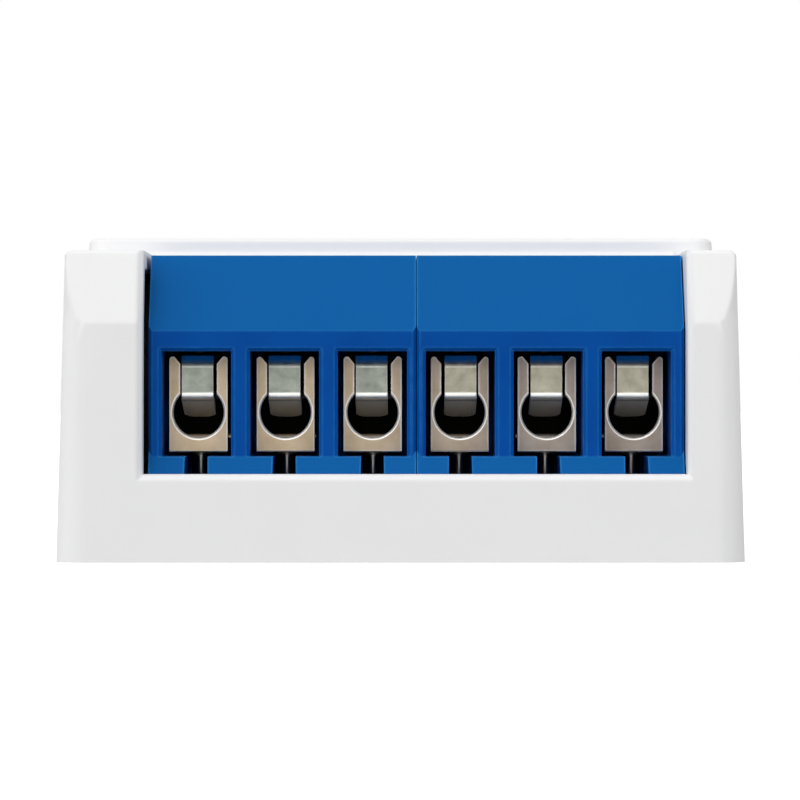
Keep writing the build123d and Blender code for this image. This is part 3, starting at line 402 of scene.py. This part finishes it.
metalLook = {
    "clamp_brass": {"dark": (0.51, 0.39, 0.24), "light": (0.71, 0.56, 0.38), "farDark": (0.29, 0.235, 0.19),
                    "farLight": (0.43, 0.365, 0.31), "driftFrom": -0.004, "driftTo": 0.0075,
                    "edge": (1.0, 0.97, 0.92), "edgeWidth": 0.00022, "edgeGain": 6.0, "metal": 0.5,
                    "rough": (0.34, 0.46), "fineness": 9000, "lineDepth": 0.000006,
                    # painted shade: the cage behind its front plate is painted near black
                    "paintedShading": (0.002, 0.002, 0.0016), "shadingFront": -0.0138, "toneFade": 0.0002, "shadingFoot": 0.00697,
                    "shadingHead": 0.02, "shadingMetal": 1.0, "tinHead": 0.0061, "tin": (0.34, 0.34, 0.32), "tinRough": 0.5,
                    # painted highlight on the keyhole's rolled rim
                    "paintedHighlight": (0.92, 0.88, 0.8)},
    "guard_steel": {"dark": (0.21, 0.235, 0.2), "light": (0.38, 0.4, 0.345), "farDark": (0.28, 0.265, 0.2),
                    "farLight": (0.46, 0.435, 0.34), "driftFrom": -0.0005, "driftTo": 0.0025,
                    "edge": (0.95, 0.95, 0.9), "edgeWidth": 0.00012, "edgeGain": 5.0, "metal": 0.95,
                    # painted highlight on the bend below the flap
                    "paintedHighlight": (0.97, 0.97, 0.92), "rough": (0.32, 0.44), "fineness": 14000, "lineDepth": 0.000009,
                    # painted light: the lower bend and the leaf are painted pale and dull, to stand in for the light
                    # they catch
                    "paintedShading": (0.98, 0.96, 0.84), "shadingFront": -0.0139, "toneFade": 0.0002, "shadingFoot": -0.001,
                    "shadingHead": 0.0094, "shadingMetal": 0.1,
                    # painted reflection of the blue block on the lip, made less metallic
                    "blueReflection": (0.03, 0.4, 0.92), "reflectionMetal": 0.15, "reflectionFoot": 0.01118, "reflectionFade": 0.00026},
    "screw_steel": {"dark": (0.48, 0.47, 0.42), "light": (0.62, 0.61, 0.56), "edge": (0.8, 0.79, 0.76),
                    "edgeWidth": 0.00012, "edgeGain": 4.0, "metal": 0.95,
                    "rough": (0.24, 0.36), "fineness": 7000, "lineDepth": 0.000005,
                    # painted shade: the thread below the head is painted near black
                    "paintedShading": (0.03, 0.028, 0.025), "shadingFront": -0.02, "toneFade": 0.0002, "shadingFoot": 0.0,
                    "shadingHead": 0.0131, "shadingMetal": 1.0},
    "shield_tin": {"dark": (0.5, 0.5, 0.49), "light": (0.62, 0.62, 0.6), "edge": (0.75, 0.75, 0.74),
                   "edgeWidth": 0.0002, "edgeGain": 3.0, "metal": 0.95,
                   "rough": (0.22, 0.32), "fineness": 5000, "lineDepth": 0.000004},
    "track_gold": {"dark": (0.55, 0.36, 0.12), "light": (0.72, 0.5, 0.2), "edge": (0.85, 0.65, 0.35),
                   "edgeWidth": 0.0001, "edgeGain": 2.0, "metal": 1.0,
                   "rough": (0.25, 0.35), "fineness": 6000, "lineDepth": 0.000003},
    "pin_tin": {"dark": (0.48, 0.48, 0.47), "light": (0.62, 0.62, 0.6), "edge": (0.75, 0.75, 0.74),
                "edgeWidth": 0.0001, "edgeGain": 3.0, "metal": 0.95,
                "rough": (0.25, 0.38), "fineness": 6000, "lineDepth": 0.000004},
}
finishes = {name: makePlastic(name, look) for name, look in plasticLook.items()}
finishes.update({name: makeMetal(name, look) for name, look in metalLook.items()})
slotOf = {part["node"]: part["material_slot"] for part in frame["record"]["subparts"]}
for nodeName, node in nodes.items():
    node.data.materials.clear()
    node.data.materials.append(finishes[slotOf[nodeName]])
print("finishes made:", len(finishes))


# pieces

realEdgeAngle = 28   # degrees, unless a piece has its own
creaseArea = 0.000008   # two faces larger than this meet in a crease even when it is nearly flat
creaseAngle = math.radians(8)


def finishPiece(bm, name, replaced, body, rounding):
    # shades a mesh smooth between its real edges, rounds these and puts the piece on its body
    bmesh.ops.recalc_face_normals(bm, faces=bm.faces)
    realEdge = math.radians(rounding.get("angle", realEdgeAngle))
    for face in bm.faces:
        face.smooth = True
    for edge in bm.edges:
        broad = all(face.calc_area() > creaseArea for face in edge.link_faces)
        edge.smooth = len(edge.link_faces) == 2 and edge.calc_face_angle(0) < (creaseAngle if broad else realEdge)
    mesh = bpy.data.meshes.new(name)
    bm.to_mesh(mesh)
    bm.free()
    piece = bpy.data.objects.new(name, mesh)
    scene.collection.objects.link(piece)
    slotName = slotOf[replaced]
    mesh.materials.append(finishes[slotName])
    soften = piece.modifiers.new("softEdges", "BEVEL")
    soften.width = rounding["width"]
    soften.segments = rounding["segments"]
    soften.limit_method = "ANGLE"
    soften.angle_limit = realEdge
    soften.harden_normals = True
    even = piece.modifiers.new("evenShading", "WEIGHTED_NORMAL")
    even.keep_sharp = True
    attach(piece, body)
    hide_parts(replaced)


merging = {"distance": 0.000002, "flatness": 0.6}   # metres and degrees


def mergedCopy(nodeName):
    # a copy of a part's mesh with its loose triangles joined and its flat faces whole
    bm = bmesh.new()
    bm.from_mesh(nodes[nodeName].data)
    bmesh.ops.remove_doubles(bm, verts=bm.verts, dist=merging["distance"])
    bmesh.ops.dissolve_limit(bm, angle_limit=math.radians(merging["flatness"]), verts=bm.verts, edges=bm.edges)
    return bm


# the punched hole's front edge is rolled over
keyhole = {"height": 0.00843, "reach": 0.00156, "roll": 0.00015, "rollSteps": 4}


def rollRim(bm, nodeName):
    low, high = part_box(nodeName)
    paintedHighlight = bm.faces.layers.float.new("paintedHighlight")
    centre = Vector(((low.x + high.x) / 2, low.y, keyhole["height"]))
    rim = [edge for edge in bm.edges
           if all(abs(vert.co.y - low.y) < touch and (vert.co - centre).length < keyhole["reach"]
                  for vert in edge.verts)]
    rolled = bmesh.ops.bevel(bm, geom=rim, offset=keyhole["roll"], offset_type="OFFSET",
                             segments=keyhole["rollSteps"], profile=0.5, affect="EDGES", material=-1)
    # the rolled rim carries a painted highlight
    for face in rolled["faces"]:
        face[paintedHighlight] = 1.0


dish = {"border": 0.00045, "depth": 0.00016}   # the hollow for a fingertip in the button


def dishButton(bm, nodeName):
    low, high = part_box(nodeName)
    top = [face for face in bm.faces if face.normal.z > 0.9 and abs(face.calc_center_median().z - high.z) < touch]
    bmesh.ops.inset_region(bm, faces=top, thickness=dish["border"], depth=0)
    bmesh.ops.inset_region(bm, faces=top, thickness=dish["border"], depth=-dish["depth"])


rounded = {   # width of the rounded edges in metres
    "cover": {"width": 0.00011, "segments": 3},
    "base_plate": {"width": 0.00004, "segments": 2},
    "terminal_block_left": {"width": 0.0001, "segments": 3, "angle": 24},
    "terminal_block_right": {"width": 0.0001, "segments": 3, "angle": 24},
    "light_pipe": {"width": 0.0002, "segments": 4},
    "pairing_button": {"width": 0.00006, "segments": 2},
}
for number in range(1, 7):
    rounded["terminal_clamp_" + str(number)] = {"width": 0.00008, "segments": 3}
bodyOf = {member: body for body, members in frame["record"]["behaviour"]["bodies"].items() for member in members}
for nodeName, rounding in rounded.items():
    copied = mergedCopy(nodeName)
    if nodeName.startswith("terminal_clamp"):
        rollRim(copied, nodeName)
    if nodeName == "pairing_button":
        dishButton(copied, nodeName)
    finishPiece(copied, nodeName + "_moulded", nodeName, bodyOf[nodeName], rounding)
print("moulded pieces softened:", len(rounded))

wireGuard = {"width": 1.87, "thickness": 0.4, "lip": 0.3, "lipBend": 45, "lipRadius": 0.45, "flap": 1.495,
             "leafBend": 75.79, "leafRadius": 0.25, "leaf": 3.88, "tipRadius": 0.72, "rounding": 0.00005,
             "lipSteps": 6, "leafSteps": 10, "tipSteps": 10, "merge": 0.001,
             "glintDepth": 1.293}   # millimetres and degrees; the last is the depth up to which the bend carries a painted highlight


def buildGuard(number):
    # a strip that starts at its lip, is bent down into the flap and back into the leaf
    low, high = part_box("wire_guard_" + str(number))
    middle = (low.x + high.x) / 2
    slant = math.sin(math.radians(wireGuard["lipBend"])) * wireGuard["thickness"] / 2 * mm
    here = Vector((middle, 0, 0))
    lipRun = (wireGuard["lip"] + wireGuard["lipRadius"] * math.tan(math.radians(wireGuard["lipBend"] / 2))) * mm
    reach = lipRun * math.cos(math.radians(wireGuard["lipBend"]))
    here.y = low.y + wireGuard["thickness"] / 2 * mm + reach
    here.z = high.z - slant
    heading = math.radians(180 + wireGuard["lipBend"])
    bm = bmesh.new()
    paintedHighlight = bm.faces.layers.float.new("paintedHighlight")   # painted highlight on the bend below the flap
    bmesh.ops.create_grid(bm, x_segments=1, y_segments=1, size=0.5)
    bmesh.ops.scale(bm, vec=(wireGuard["width"] * mm, wireGuard["thickness"] * mm, 1), verts=bm.verts)
    bmesh.ops.rotate(bm, matrix=Matrix.Rotation(heading - math.radians(90), 3, "X"), verts=bm.verts)
    bmesh.ops.translate(bm, vec=here, verts=bm.verts)
    end = list(bm.faces)

    def straight(end, here, length):
        step = Vector((0, math.cos(heading), math.sin(heading))) * length * mm
        made = bmesh.ops.extrude_face_region(bm, geom=end)["geom"]
        bmesh.ops.translate(bm, vec=step, verts=[part for part in made if isinstance(part, bmesh.types.BMVert)])
        return [part for part in made if isinstance(part, bmesh.types.BMFace)], here + step

    def bend(end, here, angle, radius, steps):
        centre = here + Vector((0, -math.sin(heading), math.cos(heading))) * radius * mm
        made = bmesh.ops.spin(bm, geom=end, cent=centre, axis=(1, 0, 0), angle=math.radians(angle), steps=steps)
        turned = centre + Matrix.Rotation(math.radians(angle), 3, "X") @ (here - centre)
        return [part for part in made["geom_last"] if isinstance(part, bmesh.types.BMFace)], turned

    end, here = straight(end, here, wireGuard["lip"])
    end, here = bend(end, here, wireGuard["lipBend"], wireGuard["lipRadius"], wireGuard["lipSteps"])
    heading += math.radians(wireGuard["lipBend"])
    end, here = straight(end, here, wireGuard["flap"])
    straightFaces = set(bm.faces)
    end, here = bend(end, here, wireGuard["leafBend"], wireGuard["leafRadius"], wireGuard["leafSteps"])
    for face in bm.faces:
        if face not in straightFaces:
            face[paintedHighlight] = 1.0
    heading += math.radians(wireGuard["leafBend"])
    end, here = straight(end, here, wireGuard["leaf"])
    for face in bm.faces:
        if face.calc_center_median().y > low.y + wireGuard["glintDepth"] * mm:
            face[paintedHighlight] = 0.0
    corners = [edge for edge in end[0].edges if abs(edge.verts[0].co.x - edge.verts[1].co.x) < 0.1 * mm]
    bmesh.ops.bevel(bm, geom=corners, offset=wireGuard["tipRadius"] * mm, offset_type="OFFSET",
                    segments=wireGuard["tipSteps"], profile=0.5, affect="EDGES", material=-1)
    bmesh.ops.remove_doubles(bm, verts=bm.verts, dist=wireGuard["merge"] * mm)
    finishPiece(bm, "bent_guard_" + str(number), "wire_guard_" + str(number), "guard_" + str(number),
                {"width": wireGuard["rounding"], "segments": 3})


for number in range(1, 7):
    buildGuard(number)
print("wire guards bent")

screw = {"headHeight": 1.6, "crest": 1.25, "root": 1.0, "pitch": 0.45, "crestFlat": 0.07, "steps": 24, "tipTaper": 0.2,
         "rounding": 0.00007}


def buildScrew(number):
    # the driver end of the CAD screw, a core below it and a thread wound round that core
    nodeName = "terminal_screw_" + str(number)
    low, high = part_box(nodeName)
    middle = Vector(((low.x + high.x) / 2, (low.y + high.y) / 2, 0))
    headFoot = high.z - screw["headHeight"] * mm
    bm = mergedCopy(nodeName)
    bmesh.ops.bisect_plane(bm, geom=list(bm.verts) + list(bm.edges) + list(bm.faces), dist=0.000001,
                           plane_co=(0, 0, headFoot + 0.01 * mm), plane_no=(0, 0, 1), clear_inner=True)
    bmesh.ops.holes_fill(bm, edges=[edge for edge in bm.edges if edge.is_boundary], sides=0)
    coreLength = headFoot - low.z + 0.02 * mm
    bmesh.ops.create_cone(bm, cap_ends=True, segments=screw["steps"], radius1=(screw["root"] - screw["tipTaper"]) * mm,
                          radius2=(screw["root"] - screw["tipTaper"]) * mm, depth=coreLength,
                          matrix=Matrix.Translation(middle + Vector((0, 0, low.z + coreLength / 2))))
    turns = (coreLength / mm - screw["pitch"]) / screw["pitch"]
    ridge = bmesh.ops.create_grid(bm, x_segments=1, y_segments=1, size=0.5)["verts"]
    ridgeDepth = (screw["crest"] - screw["root"] + screw["tipTaper"]) * mm
    bmesh.ops.scale(bm, vec=(ridgeDepth, screw["pitch"] * mm, 1), verts=ridge)
    bmesh.ops.rotate(bm, matrix=Matrix.Rotation(math.radians(90), 3, "X"), verts=ridge)
    outer = [vert for vert in ridge if vert.co.x > 0]
    bmesh.ops.scale(bm, vec=(1, 1, screw["crestFlat"] / screw["pitch"]), verts=outer)
    shift = (screw["crest"] + screw["root"] - screw["tipTaper"]) / 2 * mm
    bmesh.ops.translate(bm, vec=middle + Vector((shift, 0, low.z + screw["pitch"] / 2 * mm)), verts=ridge)
    profile = [face for face in bm.faces if all(vert in ridge for vert in face.verts)]
    stepCount = int(turns * screw["steps"])
    bmesh.ops.spin(bm, geom=profile, cent=middle, axis=(0, 0, 1), angle=math.radians(360 / screw["steps"] * stepCount),
                   steps=stepCount, dvec=(0, 0, screw["pitch"] * mm / screw["steps"]))
    finishPiece(bm, "threaded_screw_" + str(number), nodeName, "screw_" + str(number),
                {"width": screw["rounding"], "segments": 2})


for number in range(1, 7):
    buildScrew(number)
print("screws threaded")

# floor and light
floorLook = {"size": 3.0, "colour": (0.95, 0.95, 0.95), "bounceColour": (0.1, 0.1, 0.1), "glow": (0.22, 0.22, 0.22),
             "lift": (0.4, 0.4, 0.4), "drop": 0.00002, "roughness": 0.9}
floorMesh = bmesh.new()
bmesh.ops.create_grid(floorMesh, x_segments=1, y_segments=1, size=floorLook["size"])
bmesh.ops.translate(floorMesh, vec=(0, 0, -floorLook["drop"]), verts=floorMesh.verts)
floorData = bpy.data.meshes.new("floor")
floorMesh.to_mesh(floorData)
floorMesh.free()
floor = bpy.data.objects.new("floor", floorData)
scene.collection.objects.link(floor)
floorPaint = bpy.data.materials.new("floorPaint")
floorPaint.use_nodes = True
floorTree = floorPaint.node_tree
bounce = addNode(floorTree, "ShaderNodeLightPath")
link(floorTree, mixColours(floorTree, bounce.outputs["Is Diffuse Ray"], floorLook["colour"], floorLook["bounceColour"]),
     floorTree.nodes["Principled BSDF"].inputs["Base Color"])
floorTree.nodes["Principled BSDF"].inputs["Roughness"].default_value = floorLook["roughness"]
floorTree.nodes["Principled BSDF"].inputs["Emission Strength"].default_value = 1.0
link(floorTree, mixColours(floorTree, bounce.outputs["Is Camera Ray"], floorLook["glow"], floorLook["lift"]),
     floorTree.nodes["Principled BSDF"].inputs["Emission Color"])
floorData.materials.append(floorPaint)

studio = {"light": 0.69, "seen": 1.0}   # strength of the backdrop as light, and as the camera sees it
world = bpy.data.worlds.new("studio")
scene.world = world
world.use_nodes = True
worldTree = world.node_tree
backdrop = worldTree.nodes["Background"]
backdrop.inputs["Color"].default_value = (1, 1, 1, 1)
backdrop.inputs["Strength"].default_value = studio["light"]
seen = addNode(worldTree, "ShaderNodeBackground")
seen.inputs["Color"].default_value = (1, 1, 1, 1)
seen.inputs["Strength"].default_value = studio["seen"]
path = addNode(worldTree, "ShaderNodeLightPath")
choice = addNode(worldTree, "ShaderNodeMixShader")
link(worldTree, path.outputs["Is Camera Ray"], choice.inputs["Fac"])
link(worldTree, backdrop.outputs[0], choice.inputs[1])
link(worldTree, seen.outputs[0], choice.inputs[2])
link(worldTree, choice.outputs[0], worldTree.nodes["World Output"].inputs["Surface"])

lamps = {   # broad, far lights: where each stands, how wide it looks and how strong it is
    "overhead": {"from": (-0.2, -0.3, 0.95), "width": 50, "power": 0.45},
    "front": {"from": (-0.12, -0.85, 0.5), "width": 40, "power": 0.88},
    "leftFill": {"from": (-0.95, -0.25, 0.3), "width": 60, "power": 0.82},
    "rightFill": {"from": (0.95, -0.25, 0.3), "width": 60, "power": 0.3},
}
for name, lamp in lamps.items():
    lampData = bpy.data.lights.new(name, "SUN")
    lampData.angle = math.radians(lamp["width"])
    lampData.energy = lamp["power"]
    lampObject = bpy.data.objects.new(name, lampData)
    lampObject.location = lamp["from"]
    lampObject.rotation_euler = (-Vector(lamp["from"])).to_track_quat("-Z", "Y").to_euler()
    scene.collection.objects.link(lampObject)
print("floor and lights placed")
